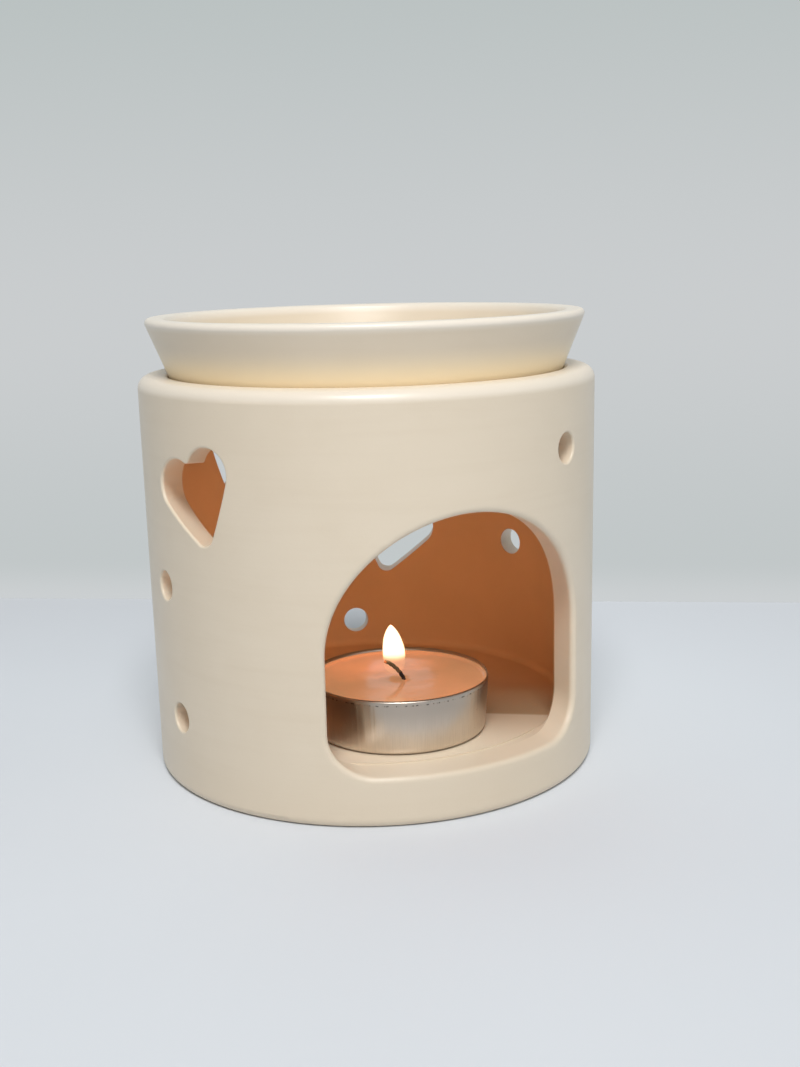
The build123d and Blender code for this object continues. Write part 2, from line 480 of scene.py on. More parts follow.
def mixed(tree, factor, first, second):
    """Two colours mixed."""
    made = put(tree, "ShaderNodeMix", data_type="RGBA")
    a, b = (c if isinstance(c, bpy.types.NodeSocket) else (*c, 1.0) for c in (first, second))
    wire(tree, {s.name: s for s in made.inputs if s.enabled}, {"Factor": factor, "A": a, "B": b})
    return [s for s in made.outputs if s.enabled][0]


def shaded(color, share):
    """A colour made darker by a share."""
    return tuple(part * share for part in color)


def noise_of(tree, place, scale, detail=2.0, roughness=0.5):
    """A noise texture's value, 0 to 1."""
    inputs = {"Vector": place, "Scale": scale, "Detail": detail, "Roughness": roughness}
    return put(tree, "ShaderNodeTexNoise", inputs).outputs["Fac"]


def place_on(tree, centre=(0, 0, 0)):
    """The piece's own coordinates, counted from a centre."""
    coordinates = put(tree, "ShaderNodeTexCoord").outputs["Object"]
    shift = tuple(-part for part in centre)
    made = put(tree, "ShaderNodeMapping", {"Vector": coordinates, "Location": shift})
    return made.outputs["Vector"]


def bumped(tree, height, distance, **over):
    """A normal raised by a height from 0 to 1."""
    inputs = {"Height": height, "Distance": distance, **over}
    return put(tree, "ShaderNodeBump", inputs).outputs["Normal"]


def new_group(name, kind, inputs, outputs):
    """A node group with named inputs and outputs, each given as (name, sort, value)."""
    group = bpy.data.node_groups.new(name, kind)
    for label, sort, value in inputs:
        socket = group.interface.new_socket(label, in_out="INPUT", socket_type="NodeSocket" + sort)
        if value is not None:
            socket.default_value = value
    for label, sort in outputs:
        group.interface.new_socket(label, in_out="OUTPUT", socket_type="NodeSocket" + sort)
    return group, group.nodes.new("NodeGroupInput").outputs, group.nodes.new("NodeGroupOutput").inputs


def new_material(name):
    """A material with only its Principled shader."""
    material = bpy.data.materials.new(name)
    material.use_nodes = True
    tree = material.node_tree
    return material, tree, tree.nodes["Principled BSDF"].inputs, tree.nodes["Material Output"].inputs


# The effect that the pot and the dish share

def make_glaze_surface():
    """Satin glaze over turned clay: soft clouds, faint turning marks, grain and pinholes."""
    group, given, out = new_group(
        "glaze surface",
        "ShaderNodeTree",
        [
            ("Place", "Vector", None),
            ("Color", "Color", (1, 1, 1, 1)),
            ("Shade Color", "Color", (1, 1, 1, 1)),
            ("Cloud Size", "Float", 0.02),
            ("Roughness", "Float", 0.4),
            ("Pinholes", "Float", 0.05),
        ],
        [("Color", "Color"), ("Roughness", "Float"), ("Height", "Float")],
    )
    place = given["Place"]
    cloud_scale = calc(group, "DIVIDE", 1.0, given["Cloud Size"])
    clouds = noise_of(group, place, cloud_scale, *glaze_cloud_detail)
    stretched = vector_calc(group, "MULTIPLY", place, glaze_mark_scale)
    marks = noise_of(group, stretched, *glaze_mark_noise)
    grain = noise_of(group, place, glaze_grain_scale)
    cells = put(group, "ShaderNodeTexVoronoi", {"Vector": place, "Scale": pinhole_scale}).outputs
    red = put(group, "ShaderNodeSeparateColor", {"Color": cells["Color"]}).outputs["Red"]
    chosen = calc(group, "LESS_THAN", red, given["Pinholes"])
    near = ramp_between(group, cells["Distance"], pinhole_radius, pinhole_edge, 1.0, 0.0)
    pinhole = times(group, chosen, near)
    cloudy = times(group, ramp_between(group, clouds, *glaze_cloud_range), glaze_cloud_share)
    marked = times(group, ramp_between(group, marks, *glaze_mark_range), glaze_mark_share)
    tone = mixed(group, plus(group, cloudy, marked), given["Color"], given["Shade Color"])
    pitted = mixed(group, times(group, pinhole, pinhole_share), tone, pinhole_color)
    rough_change = times(group, centred(group, clouds), glaze_rough_change)
    rough = plus(group, given["Roughness"], rough_change)
    relief = times(group, marks, glaze_mark_relief)
    relief = plus(group, relief, times(group, grain, glaze_grain_relief))
    relief = plus(group, relief, times(group, clouds, glaze_cloud_relief))
    relief = calc(group, "SUBTRACT", relief, times(group, pinhole, pinhole_relief))
    wire(group, out, {"Color": pitted, "Roughness": rough, "Height": relief})
    return group


glaze_surface = make_glaze_surface()


def glazed(tree, place, cloud_size, pinholes):
    """The shared glaze, placed in a material."""
    inputs = {
        "Place": place,
        "Color": (*glaze_color, 1),
        "Shade Color": (*glaze_shade_color, 1),
        "Cloud Size": cloud_size,
        "Roughness": glaze_roughness,
        "Pinholes": pinholes,
    }
    return put(tree, "ShaderNodeGroup", inputs, node_tree=glaze_surface).outputs


# Finishes

def pot_inside(tree, place, radius, z):
    """Where the pot's inside shows its tan, and that tan. On the floor the tan is painted shade and
    painted shadow: a gradient back from the door, a shadow edge beside the tea light, and a darker
    painted shadow low down just beyond that edge.
    """
    backwards = tuple(-outward(floor_shadow_bearing))
    back = vector_measure(tree, "DOT_PRODUCT", place, backwards)
    wander = times(tree, noise_of(tree, place, inside_cloud_scale), floor_shadow_wander)
    back = plus(tree, back, wander)
    # Painted floor shade growing back from the door, then the painted shadow edge.
    painted_floor_shade = times(tree, ramp_between(tree, back, floor_shade_start, floor_shadow_edge), floor_shade_share)
    beyond = ramp_between(tree, back, floor_shadow_edge, floor_shadow_edge + floor_shadow_blur)
    floor_shadow_mask = plus(tree, painted_floor_shade, times(tree, beyond, 1 - floor_shade_share))
    floor_shadow_mask = times(tree, floor_shadow_mask, calc(tree, "GREATER_THAN", z, pot_floor - floor_margin))
    on_wall = ramp_between(tree, z, pot_floor + wall_tan_from, pot_floor + wall_tan_to)
    from_floor = calc(tree, "MAXIMUM", on_wall, floor_shadow_mask)
    below_rim = ramp_between(tree, z, pot_high.z - inside_rim_from, pot_high.z - inside_rim_to, 1.0, 0.0)
    within = calc(tree, "LESS_THAN", radius, pot_radius - pot_wall + inside_skin)
    inside = times(tree, within, times(tree, from_floor, below_rim))
    clouds = noise_of(tree, place, inside_cloud_scale, inside_cloud_detail)
    tan = mixed(tree, clouds, inside_color, shaded(inside_color, inside_cloud_shade))
    # Darker painted shadow low down just beyond the shadow edge.
    dark_shadow_low = pot_floor + floor_dark_shadow_from
    dark_shadow_high = pot_floor + floor_dark_shadow_to
    low_down = ramp_between(tree, z, dark_shadow_low, dark_shadow_high, floor_dark_shadow_share, 0.0)
    not_far_back = ramp_between(tree, back, floor_shadow_edge, floor_dark_shadow_end, 1.0, 0.0)
    shadowed_tan = mixed(tree, times(tree, low_down, not_far_back), tan, floor_dark_shadow_color)
    return inside, shadowed_tan


def softened_door(tree, radius, y, z):
    """The surface's normal, rounded over at the outside edge of the door."""
    bevel = put(tree, "ShaderNodeBevel", {"Radius": door_soft_edge}, samples=door_soft_samples)
    plain = put(tree, "ShaderNodeNewGeometry").outputs["Normal"]
    near_outside = ramp_between(tree, radius, pot_radius - door_soft_from, pot_radius - door_soft_to)
    in_front = calc(tree, "LESS_THAN", y, door_soft_front)
    below_crown = calc(tree, "LESS_THAN", z, door_soft_top)
    round_door = times(tree, near_outside, times(tree, in_front, below_crown))
    either = {0: round_door, 4: plain, 5: bevel.outputs[0]}
    return put(tree, "ShaderNodeMix", either, data_type="VECTOR").outputs[1]


def make_pot_glaze():
    """The pot: cream outside and in its cut openings, with painted shade at its foot and a painted
    highlight on its rim; tan and more matt inside, with painted shade and shadow on its floor.
    """
    material, tree, shader, _ = new_material("glazed_pot_finish")
    place = place_on(tree)
    x, y, z = split(tree, place)
    radius = from_axis(tree, x, y)
    surface = glazed(tree, place, pot_cloud_size, pot_pinholes)
    # Painted shade: the glaze darkened towards the foot.
    near_foot = ramp_between(tree, z, 0.0, foot_painted_shade_height, foot_painted_shade, 0.0)
    footed = mixed(tree, near_foot, surface["Color"], glaze_shade_color)
    # Painted highlight on the rim.
    at_rim = ramp_between(tree, z, pot_high.z - rim_highlight_from, pot_high.z - rim_highlight_to)
    outside_tone = mixed(tree, times(tree, at_rim, rim_highlight_share), footed, glaze_highlight_color)
    inside, inside_tone = pot_inside(tree, place, radius, z)
    tone = mixed(tree, inside, outside_tone, inside_tone)
    rough = plus(tree, surface["Roughness"], times(tree, inside, inside_extra_roughness))
    softened = softened_door(tree, radius, y, z)
    normal = bumped(tree, surface["Height"], glaze_relief, Normal=softened)
    wire(tree, shader, {"Base Color": tone, "Roughness": rough, "Normal": normal})
    return material


def make_dish_glaze():
    """The dish: the same glaze, with a painted highlight on its lip and a painted warm glow low on its
    outside.
    """
    material, tree, shader, _ = new_material("glazed_dish_finish")
    place = place_on(tree)
    x, y, z = split(tree, place)
    surface = glazed(tree, place, dish_cloud_size, dish_pinholes)
    # Painted warm glow low on the cone's outside.
    low = ramp_between(tree, z, pot_high.z + seat_glow_from, pot_high.z + seat_glow_to, 1.0, 0.0)
    over_rim = calc(tree, "SUBTRACT", z, pot_high.z)
    cone = plus(tree, times(tree, over_rim, dish_cone_slope), dish_cone_radius)
    reach = plus(tree, from_axis(tree, x, y), dish_cone_margin)
    outside = calc(tree, "GREATER_THAN", reach, cone)
    warm = times(tree, low, outside, seat_glow_share)
    # Painted highlight on the lip.
    at_lip = ramp_between(tree, z, dish_high.z - lip_highlight_from, dish_high.z - lip_highlight_to)
    lipped = mixed(tree, times(tree, at_lip, lip_highlight_share), surface["Color"], glaze_highlight_color)
    tone = mixed(tree, warm, lipped, seat_glow_color)
    normal = bumped(tree, surface["Height"], glaze_relief)
    wire(tree, shader, {"Base Color": tone, "Roughness": surface["Roughness"], "Normal": normal})
    return material


def make_cup_metal():
    """Thin drawn aluminium: fine upright lines, a haze, a painted darker reflection on its upper part,
    and a broken painted shadow in a crease under its edge.
    """
    material, tree, shader, _ = new_material("cup_aluminium_finish")
    place = place_on(tree, cup_foot)
    x, y, z = split(tree, place)
    around = calc(tree, "ARCTAN2", y, x)
    line_round, line_up = foil_line_scale
    sweep = combined(tree, times(tree, around, line_round), 0.0, times(tree, z, line_up))
    lines = noise_of(tree, sweep, *foil_line_noise)
    haze = noise_of(tree, place, *foil_haze_noise)
    streaks = ramp_between(tree, lines, *foil_line_range)
    tone = mixed(tree, streaks, foil_light_color, foil_dark_color)
    # Painted darker reflection on the upper wall.
    upper = ramp_between(tree, z, cup_height * foil_shade_from, cup_height * foil_shade_to)
    tone = mixed(tree, upper, tone, foil_upper_shade_color)
    # Painted shadow in the crease under the rolled edge, broken into dashes.
    ring = combined(tree, times(tree, around, crease_round_scale), 0.0, 0.0)
    broken = ramp_between(tree, noise_of(tree, ring, *crease_gap_noise), *crease_gap_range)
    drift = times(tree, centred(tree, noise_of(tree, ring, *crease_drift_noise)), crease_drift)
    over_crease = calc(tree, "SUBTRACT", z, cup_height - crease_drop)
    from_crease = calc(tree, "ABSOLUTE", plus(tree, over_crease, drift))
    crease = times(tree, ramp_between(tree, from_crease, crease_core, crease_edge, 1.0, 0.0), broken)
    crease_shaded = mixed(tree, times(tree, crease, crease_shadow_share), tone, crease_shadow_color)
    dull = plus(tree, times(tree, lines, foil_line_roughness), times(tree, haze, foil_haze_roughness))
    relief = plus(tree, lines, times(tree, haze, foil_haze_share))
    wire(tree, shader, {
        "Base Color": crease_shaded,
        "Metallic": 1.0,
        "Roughness": plus(tree, dull, foil_roughness),
        "Normal": bumped(tree, relief, foil_relief),
    })
    return material


def make_wax_finish():
    """Molten wax, with a painted glow standing in for the flame's light scattered through it: a little
    deeper in its pool round the wick.
    """
    material, tree, shader, _ = new_material("wax_finish")
    place = place_on(tree, cup_foot)
    x, y, z = split(tree, place)
    radius = from_axis(tree, x, y)
    swirl = noise_of(tree, place, *wax_swirl_noise)
    streak = noise_of(tree, vector_calc(tree, "MULTIPLY", place, wax_streak_scale), 1.0)
    wander = times(tree, noise_of(tree, place, wax_pool_scale), wax_pool_wander)
    pool = ramp_between(tree, plus(tree, radius, wander), wax_pool_radius, wax_pool_edge, 1.0, 0.0)
    disc = ramp_between(tree, radius, wax_disc_radius, wax_disc_edge, 1.0, 0.0)
    wax = mixed(tree, ramp_between(tree, swirl, *wax_swirl_range), wax_color, wax_cloud_color)
    clear = mixed(tree, times(tree, pool, wax_pool_share), wax, wax_pool_color)
    seen_disc = mixed(tree, times(tree, disc, wax_disc_share), clear, wax_disc_color)
    # Its emission is a painted glow.
    wire(tree, shader, {
        "Base Color": seen_disc,
        "Roughness": ramp_between(tree, streak, *wax_streak_range, *wax_roughness_range),
        "Subsurface Weight": wax_depth_share,
        "Subsurface Radius": wax_depth_colors,
        "Subsurface Scale": wax_depth_seen,
        "Emission Color": mixed(tree, pool, wax_painted_glow_color, shaded(wax_painted_glow_color, wax_glow_shade)),
        "Emission Strength": ramp_between(tree, z, wax_level - wax_glow_depth, wax_level),
        "Normal": bumped(tree, swirl, wax_relief),
    })
    return material


def make_wick_char():
    """Burnt cotton, soaked low down, with a dull ember at the tip."""
    material, tree, shader, _ = new_material("wick_cotton_finish")
    place = place_on(tree, cup_foot)
    z = split(tree, place)[2]
    fuzz = noise_of(tree, place, *wick_fuzz_noise)
    pale = ramp_between(tree, fuzz, *wick_fuzz_range)
    tone = mixed(tree, pale, wick_dark_color, wick_pale_color)
    soaked = ramp_between(tree, z, wax_level, wax_level + wick_soaked_height, 1.0, 0.0)
    tone = mixed(tree, times(tree, soaked, wick_soaked_share), tone, wick_soaked_color)
    from_tip = vector_measure(tree, "DISTANCE", place, tuple(wick_tip() - cup_foot))
    from_tip = plus(tree, from_tip, times(tree, fuzz, ember_wander))
    ember = ramp_between(tree, from_tip, ember_core, ember_edge, 1.0, 0.0)
    wire(tree, shader, {
        "Base Color": tone,
        "Roughness": ramp_between(tree, fuzz, *wick_matt_range, *wick_roughness_range),
        "Normal": bumped(tree, fuzz, wick_relief),
        "Emission Color": mixed(tree, ember, (0, 0, 0), ember_color),
        "Emission Strength": ember_strength,
    })
    return material


def make_sustainer_metal():
    """Tinned steel with faint rolling lines."""
    material, tree, shader, _ = new_material("tinned_steel_finish")
    stretched = vector_calc(tree, "MULTIPLY", place_on(tree, cup_foot), tin_line_scale)
    lines = noise_of(tree, stretched, *tin_line_noise)
    wire(tree, shader, {
        "Base Color": mixed(tree, lines, tin_dark_color, tin_pale_color),
        "Metallic": 1.0,
        "Roughness": ramp_between(tree, lines, *tin_line_range, *tin_roughness_range),
        "Normal": bumped(tree, lines, tin_relief),
    })
    return material


def make_flame_glow():
    """A candle flame: pale yellow, orange towards its edges and clear at its root."""
    material, tree, shader, _ = new_material("flame_glow")
    place = place_on(tree, flame_root())
    height = calc(tree, "DIVIDE", split(tree, place)[2], flame_height)
    facing = put(tree, "ShaderNodeLayerWeight").outputs["Facing"]
    flicker = times(tree, noise_of(tree, place, flame_flicker_scale), flame_flicker)
    body = ramp_between(tree, plus(tree, height, flicker), flame_body_from, flame_body_to)
    tone = mixed(tree, body, flame_root_color, flame_body_color)
    edge = ramp_between(tree, facing, flame_edge_from, flame_edge_to)
    tone = mixed(tree, edge, tone, flame_edge_color)
    solid = ramp_between(tree, height, flame_solid_from, flame_solid_to, flame_root_alpha, 1.0)
    soft_edge = ramp_between(tree, facing, flame_fade_from, 1.0, 1.0, 0.0)
    wire(tree, shader, {
        "Base Color": (*flame_base_color, 1),
        "Roughness": 1.0,
        "Specular IOR Level": 0.0,
        "Emission Color": tone,
        "Emission Strength": flame_strength,
        "Alpha": times(tree, solid, soft_edge),
    })
    return material


# Shapes

def placed(name, data):
    """A new object in the scene."""
    made = bpy.data.objects.new(name, data)
    bpy.context.scene.collection.objects.link(made)
    return made


def mesh_piece(name, mesh, material, body):
    """A finished piece that rides on a body."""
    piece = placed(name, mesh)
    mesh.materials.clear()
    mesh.materials.append(material)
    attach(piece, body)
    return piece


def applied(source, name):
    """A mesh of an object's evaluated shape. The source object is then removed."""
    bpy.context.view_layer.update()
    evaluated = source.evaluated_get(bpy.context.evaluated_depsgraph_get())
    mesh = bpy.data.meshes.new_from_object(evaluated)
    mesh.name = name
    bpy.data.objects.remove(source)
    return mesh


def face_outwards(mesh):
    """Turns every face of a closed mesh outwards."""
    shape = bmesh.new()
    shape.from_mesh(mesh)
    bmesh.ops.remove_doubles(shape, verts=shape.verts, dist=merge_distance / 2)
    bmesh.ops.recalc_face_normals(shape, faces=shape.faces)
    shape.to_mesh(mesh)
    shape.free()
    mesh.shade_smooth()


def grown_mesh(name, points, tree, values):
    """What a Geometry Nodes tree makes of an open line, as a plain mesh faced outwards."""
    line = bpy.data.meshes.new(name + "_line")
    line.from_pydata(points, [(i, i + 1) for i in range(len(points) - 1)], [])
    source = placed(name + "_line", line)
    modifier = source.modifiers.new("grown", "NODES")
    modifier.node_group = tree
    for item in tree.interface.items_tree:
        if item.item_type == "SOCKET" and item.in_out == "INPUT" and item.name in values:
            modifier[item.identifier] = values[item.name]
    mesh = applied(source, name)
    face_outwards(mesh)
    return mesh


def finish_geometry(tree, geometry, finish, out):
    """Ends a Geometry Nodes tree: smooth, real and with its material."""
    smooth = put(tree, "GeometryNodeSetShadeSmooth", {"Geometry": geometry, "Shade Smooth": True})
    real = put(tree, "GeometryNodeRealizeInstances", {"Geometry": smooth.outputs[0]})
    last = put(tree, "GeometryNodeSetMaterial", {"Geometry": real.outputs[0], "Material": finish})
    wire(tree, out, {"Piece": last.outputs[0]})


def arc_points(centre, radius, start, end, steps):
    """Points of an arc in the radius-height plane."""
    turn = (end - start) / steps
    angles = [math.radians(start + turn * step) for step in range(steps + 1)]
    return [(centre[0] + radius * math.cos(a), centre[1] + radius * math.sin(a)) for a in angles]


def make_turning_tree():
    """Turns a half section round z, with folds and dents over a range of heights."""
    tree, given, out = new_group(
        "turned foil",
        "GeometryNodeTree",
        [
            ("Half Section", "Geometry", None),
            ("Steps Round", "Int", 96),
            ("Steps Along", "Int", 40),
            ("Fold Depth", "Float", 0.0),
            ("Fold Count", "Float", 60.0),
            ("Dent Depth", "Float", 0.0),
            ("Folds From", "Float", 0.0),
            ("Folds To", "Float", 1.0),
            ("Seed", "Float", 0.0),
            ("Foot", "Vector", None),
            ("Finish", "Material", None),
        ],
        [("Piece", "Geometry")],
    )
    steps = {"Vertices X": given["Steps Round"], "Vertices Y": given["Steps Along"]}
    grid = put(tree, "GeometryNodeMeshGrid", {"Size X": 1.0, "Size Y": 1.0, **steps}).outputs["Mesh"]
    u, v, _ = split(tree, put(tree, "GeometryNodeInputPosition").outputs[0])
    line = put(tree, "GeometryNodeMeshToCurve", {"Mesh": given["Half Section"]}).outputs["Curve"]
    along = {"Curves": line, "Factor": plus(tree, v, 0.5)}
    sample = put(tree, "GeometryNodeSampleCurve", along, mode="FACTOR", use_all_curves=False)
    radius, _, height = split(tree, sample.outputs["Position"])
    angle = times(tree, plus(tree, u, 0.5), math.tau)
    direction = combined(tree, calc(tree, "COSINE", angle), calc(tree, "SINE", angle), 0.0)
    low, high = given["Folds From"], given["Folds To"]
    starting = ramp_between(tree, height, low, plus(tree, low, cup_folds_fade_in))
    fading = calc(tree, "SUBTRACT", high, cup_folds_fade_out)
    band = times(tree, starting, ramp_between(tree, height, fading, high, 1.0, 0.0))
    fold_ring = scaled(tree, direction, times(tree, given["Fold Count"], fold_scale))
    fold_place = vector_calc(tree, "ADD", fold_ring, combined(tree, 0.0, 0.0, given["Seed"]))
    folds = times(tree, centred(tree, noise_of(tree, fold_place, 1.0, 1.0)), given["Fold Depth"])
    dent_height = plus(tree, times(tree, height, dent_up_scale), given["Seed"])
    dent_ring = scaled(tree, direction, dent_round_scale)
    dent_place = vector_calc(tree, "ADD", dent_ring, combined(tree, 0.0, 0.0, dent_height))
    dents = times(tree, centred(tree, noise_of(tree, dent_place, 1.0, 1.0)), given["Dent Depth"])
    push = times(tree, plus(tree, folds, dents), 2.0, band)
    level = scaled(tree, direction, plus(tree, radius, push))
    raised = vector_calc(tree, "ADD", level, combined(tree, 0.0, 0.0, height))
    target = vector_calc(tree, "ADD", raised, given["Foot"])
    wrapped = put(tree, "GeometryNodeSetPosition", {"Geometry": grid, "Position": target}).outputs[0]
    closed = put(tree, "GeometryNodeMergeByDistance", {"Geometry": wrapped, "Distance": merge_distance})
    finish_geometry(tree, closed.outputs[0], given["Finish"], out)
    return tree


def make_turned(name, piece_name, points, material, **values):
    """A turned piece of the tea light, from its half section."""
    section = [(radius, 0.0, height) for radius, height in points]
    common = {"Finish": material, "Foot": tuple(cup_foot)}
    mesh = grown_mesh(name, section, turning_tree, {**common, **values})
    return mesh_piece(piece_name, mesh, material, "tealight")


def wall_radius(height):
    """The cup's outside radius at a height above its base."""
    return cup_base_radius + (cup_radius - cup_base_radius) * height / cup_height


def make_cup():
    """The cup with its rolled edge, folds and small dents."""
    near, far = cup_base_rings
    points = [(0, 0), (near, 0), (far, 0)]
    base_centre = (wall_radius(cup_base_round) - cup_base_round, cup_base_round)
    points += arc_points(base_centre, cup_base_round, -90, 0, cup_base_steps)
    crease = cup_height - 2 * cup_edge_radius - cup_crease_drop
    points += [(wall_radius(crease * share), crease * share) for share in cup_wall_rings]
    points.append((wall_radius(crease) - cup_crease_depth, crease))
    edge_centre = (cup_radius - cup_wall / 2, cup_height - cup_edge_radius)
    points += arc_points(edge_centre, cup_edge_radius, cup_edge_start, cup_edge_end, cup_edge_steps)
    inside_round = cup_base_round - cup_wall
    inside_low = cup_wall + inside_round
    points += [(wall_radius(h) - cup_wall, h) for h in (crease, crease / 2, inside_low)]
    points += arc_points((base_centre[0], inside_low), inside_round, 0, -90, cup_inside_steps)
    points += [(far, cup_wall), (near, cup_wall), (0, cup_wall)]
    values = {
        "Steps Round": cup_steps_round,
        "Steps Along": cup_steps_along,
        "Fold Depth": cup_fold_depth,
        "Fold Count": cup_fold_count,
        "Dent Depth": cup_dent_depth,
        "Folds From": cup_folds_from,
        "Folds To": cup_height - cup_edge_radius,
        "Seed": cup_seed,
    }
    piece = make_turned("cup", "foil_cup", points, make_cup_metal(), **values)
    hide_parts("tealight_cup")


def wax_radius(height):
    """The wax's radius at a height above the cup's base."""
    return wall_radius(height) - cup_wall - wax_gap


def make_wax():
    """The molten wax, with its edge drawn up at the cup and a small rise round the wick."""
    bottom = cup_wall + wax_gap
    top = wax_level + wax_edge_climb
    points = [(0, bottom), (wax_base_ring, bottom)]
    base_centre = (wax_radius(bottom) - wax_base_round, bottom + wax_base_round)
    points += arc_points(base_centre, wax_base_round, -90, 0, wax_base_steps)
    points += [(wax_radius(top * share), top * share) for share in wax_wall_rings]
    edge_steps = 14
    for step in range(1, edge_steps + 1):
        back = wax_edge_reach * step / edge_steps
        climb = wax_edge_climb * math.exp(-back * wax_edge_steepness) * (1 - step / edge_steps)
        points.append((wax_radius(top) - back, wax_level + climb))
    points += [(radius, wax_level) for radius in wax_top_rings]
    wick_steps = 12
    for step in range(wick_steps + 1):
        radius = wax_wick_span * (1 - step / wick_steps)
        climb = wax_wick_climb * math.exp(-((radius / wax_wick_reach) ** 2))
        points.append((radius, wax_level + climb))
    values = {
        "Steps Round": wax_steps_round,
        "Steps Along": wax_steps_along,
        "Folds From": 0.0,
        "Folds To": 0.0,
        "Seed": wax_seed,
    }
    piece = make_turned("wax", "molten_wax", points, make_wax_finish(), **values)
    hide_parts("tealight_wax")


def wick_root():
    """Where the wick comes out of the wax, a little aside of the cup's middle."""
    aside = -outward(wick_bearing) * wick_aside
    forward = outward(wick_bearing + 90) * wick_forward
    return cup_foot + aside + forward + upward(wax_level)


def wick_points(count=wick_line_steps):
    """The wick's middle line: up through its collar, aslant through the wax, then curled over."""
    start = cup_foot + upward(cup_wall + wick_foot_gap)
    clear_of_collar = Vector((cup_foot.x, cup_foot.y, sustainer_high.z + wick_foot_gap))
    place = wick_root()
    points = [start.lerp(clear_of_collar, step / count) for step in range(count)]
    points += [clear_of_collar.lerp(place, step / count) for step in range(count)]
    stride = wick_bare_length / count
    for step in range(count + 1):
        points.append(place)
        lean = math.radians(wick_first_lean + (wick_last_lean - wick_first_lean) * step / count)
        place = place + (outward(wick_bearing) * math.sin(lean) + upward(math.cos(lean))) * stride
    return points


def wick_tip():
    """Where the wick ends."""
    return wick_points()[-1]


def make_strand_tree():
    """Lays strands up round a path, each a tube that turns round the path's own line."""
    tree, given, out = new_group(
        "laid strands",
        "GeometryNodeTree",
        [
            ("Path", "Geometry", None),
            ("Strands", "Int", 3),
            ("Lay Radius", "Float", 0.0003),
            ("Strand Radius", "Float", 0.0004),
            ("Turns", "Float", 3.0),
            ("Finish", "Material", None),
        ],
        [("Piece", "Geometry")],
    )
    path = put(tree, "GeometryNodeMeshToCurve", {"Mesh": given["Path"]}).outputs["Curve"]
    even = put(tree, "GeometryNodeResampleCurve", {"Curve": path, "Count": wick_path_points})
    copied = {"Geometry": even.outputs[0], "Amount": given["Strands"]}
    copies = put(tree, "GeometryNodeDuplicateElements", copied, domain="SPLINE").outputs
    along = put(tree, "GeometryNodeSplineParameter").outputs["Factor"]
    share = calc(tree, "DIVIDE", copies["Duplicate Index"], given["Strands"])
    turned = times(tree, along, given["Turns"], math.tau)
    angle = plus(tree, times(tree, share, math.tau), turned)
    tangent = put(tree, "GeometryNodeInputTangent").outputs[0]
    side = vector_calc(tree, "CROSS_PRODUCT", tangent, tuple(outward(wick_bearing + 90)))
    across = {"Vector": vector_calc(tree, "NORMALIZE", side), "Center": (0, 0, 0)}
    turn = {"Axis": tangent, "Angle": angle}
    turned_side = put(tree, "ShaderNodeVectorRotate", {**across, **turn}, rotation_type="AXIS_ANGLE")
    offset = scaled(tree, turned_side.outputs[0], given["Lay Radius"])
    laid = put(tree, "GeometryNodeSetPosition", {"Geometry": copies["Geometry"], "Offset": offset})
    taper = ramp_between(tree, along, wick_taper_from, 1.0, 1.0, wick_tip_share)
    sized = put(tree, "GeometryNodeSetCurveRadius", {"Curve": laid.outputs[0], "Radius": taper})
    circle = {"Resolution": wick_strand_sides, "Radius": given["Strand Radius"]}
    ring = put(tree, "GeometryNodeCurvePrimitiveCircle", circle).outputs["Curve"]
    swept = {"Curve": sized.outputs[0], "Profile Curve": ring, "Fill Caps": True}
    tube = put(tree, "GeometryNodeCurveToMesh", swept).outputs[0]
    finish_geometry(tree, tube, given["Finish"], out)
    return tree


def make_wick():
    """The wick as laid strands, bare where it leaves the wax."""
    char = make_wick_char()
    values = {
        "Strands": wick_strands,
        "Lay Radius": wick_lay_radius,
        "Strand Radius": wick_strand_radius,
        "Turns": wick_turns,
        "Finish": char,
    }
    strands = grown_mesh("wick", [tuple(point) for point in wick_points()], make_strand_tree(), values)
    piece = mesh_piece("laid_wick", strands, char, "tealight")
    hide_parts("wick")


def flame_root():
    """The bottom of the flame, round the wick's bare end."""
    tip = wick_tip()
    middle = (tip + wick_root()) / 2
    return Vector((middle.x, middle.y, tip.z - flame_base_drop))


def flame_swell(share):
    """The flame's width at a share of its height, next to its widest."""
    if share < flame_widest_share:
        below = (flame_widest_share - share) / flame_widest_share
        return math.sqrt(1 - below ** flame_root_power)
    above = (share - flame_widest_share) / (1 - flame_widest_share)
    return (1 - above ** flame_shoulder_power) ** flame_tip_power


def make_flame():
    """The flame: a tear drop round the wick's tip, drawn to a leaning point."""
    shape = bmesh.new()
    root = flame_root()
    lean = outward(wick_bearing) * flame_tip_lean
    loops = []
    for ring in range(1, flame_rings):
        share = (1 - math.cos(math.pi * ring / flame_rings)) / 2
        radius = flame_radius * flame_swell(share)
        middle = root + upward(flame_height * share) + lean * share * share
        loop = []
        for spoke in range(flame_spokes):
            angle = math.tau * spoke / flame_spokes
            across = Vector((math.cos(angle), math.sin(angle), 0))
            wobble = 1 + flame_wobble * noise.noise(across + upward(share * flame_wobble_scale))
            loop.append(shape.verts.new(middle + across * radius * wobble))
        loops.append(loop)
    low = shape.verts.new(root)
    high = shape.verts.new(root + upward(flame_height) + lean)
    for i in range(flame_spokes):
        j = (i + 1) % flame_spokes
        for first, second in zip(loops, loops[1:]):
            shape.faces.new((first[i], first[j], second[j], second[i]))
        shape.faces.new((low, loops[0][j], loops[0][i]))
        shape.faces.new((high, loops[-1][i], loops[-1][j]))
    mesh = bpy.data.meshes.new("flame")
    shape.to_mesh(mesh)
    shape.free()
    face_outwards(mesh)
    mesh_piece("flame", mesh, make_flame_glow(), "tealight")


